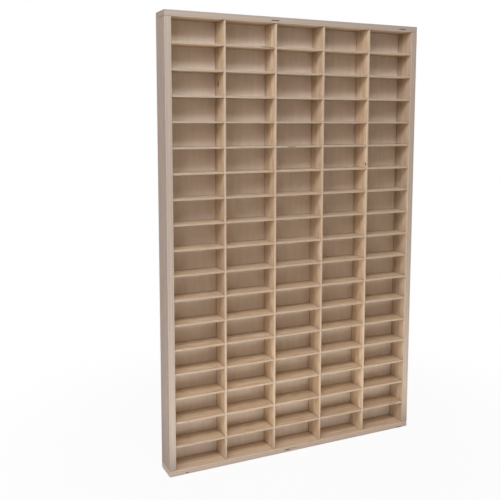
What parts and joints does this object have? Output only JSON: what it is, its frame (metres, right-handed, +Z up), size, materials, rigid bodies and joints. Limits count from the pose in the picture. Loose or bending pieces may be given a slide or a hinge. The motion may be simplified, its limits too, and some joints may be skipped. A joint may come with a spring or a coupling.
{
  "type": "pigeonhole shelf",
  "caption": "Shallow plywood pigeonhole shelf: a nailed frame with a back panel and a slotted grid of shelves and dividers that makes small open-fronted compartments.",
  "frame": {"origin": "on the floor, under the middle of the case", "axes": "+Z up, +X to the right seen from the front, the open front faces -Y"},
  "size_m": [0.5, 0.045, 0.785],
  "materials": {
    "frame_plywood": "untreated, sanded, plies showing on the edges",
    "grid_plywood": "untreated, sanded",
    "back_plywood": "untreated, sanded",
    "nail_steel": "bright wire"
  },
  "bodies": {
    "root": {"side_left": "frame_plywood", "side_right": "frame_plywood", "rail_bottom": "frame_plywood", "rail_top": "frame_plywood", "back_panel": "back_plywood", "divider_1": "grid_plywood", "divider_2": "grid_plywood", "divider_3": "grid_plywood", "divider_4": "grid_plywood", "shelf_01": "grid_plywood", "shelf_02": "grid_plywood", "shelf_03": "grid_plywood", "shelf_04": "grid_plywood", "shelf_05": "grid_plywood", "shelf_06": "grid_plywood", "shelf_07": "grid_plywood", "shelf_08": "grid_plywood", "shelf_09": "grid_plywood", "shelf_10": "grid_plywood", "shelf_11": "grid_plywood", "shelf_12": "grid_plywood", "shelf_13": "grid_plywood", "shelf_14": "grid_plywood", "shelf_15": "grid_plywood", "shelf_16": "grid_plywood", "shelf_17": "grid_plywood", "nail_bottom_left_front": "nail_steel", "nail_bottom_left_back": "nail_steel", "nail_bottom_right_front": "nail_steel", "nail_bottom_right_back": "nail_steel", "nail_top_left_front": "nail_steel", "nail_top_left_back": "nail_steel", "nail_top_right_front": "nail_steel", "nail_top_right_back": "nail_steel", "brad_left_1": "nail_steel", "brad_left_2": "nail_steel", "brad_left_3": "nail_steel", "brad_left_4": "nail_steel", "brad_right_1": "nail_steel", "brad_right_2": "nail_steel", "brad_right_3": "nail_steel", "brad_right_4": "nail_steel", "brad_bottom_1": "nail_steel", "brad_bottom_2": "nail_steel", "brad_bottom_3": "nail_steel", "brad_bottom_4": "nail_steel", "brad_top_1": "nail_steel", "brad_top_2": "nail_steel", "brad_top_3": "nail_steel", "brad_top_4": "nail_steel"}
  },
  "joints": []
}
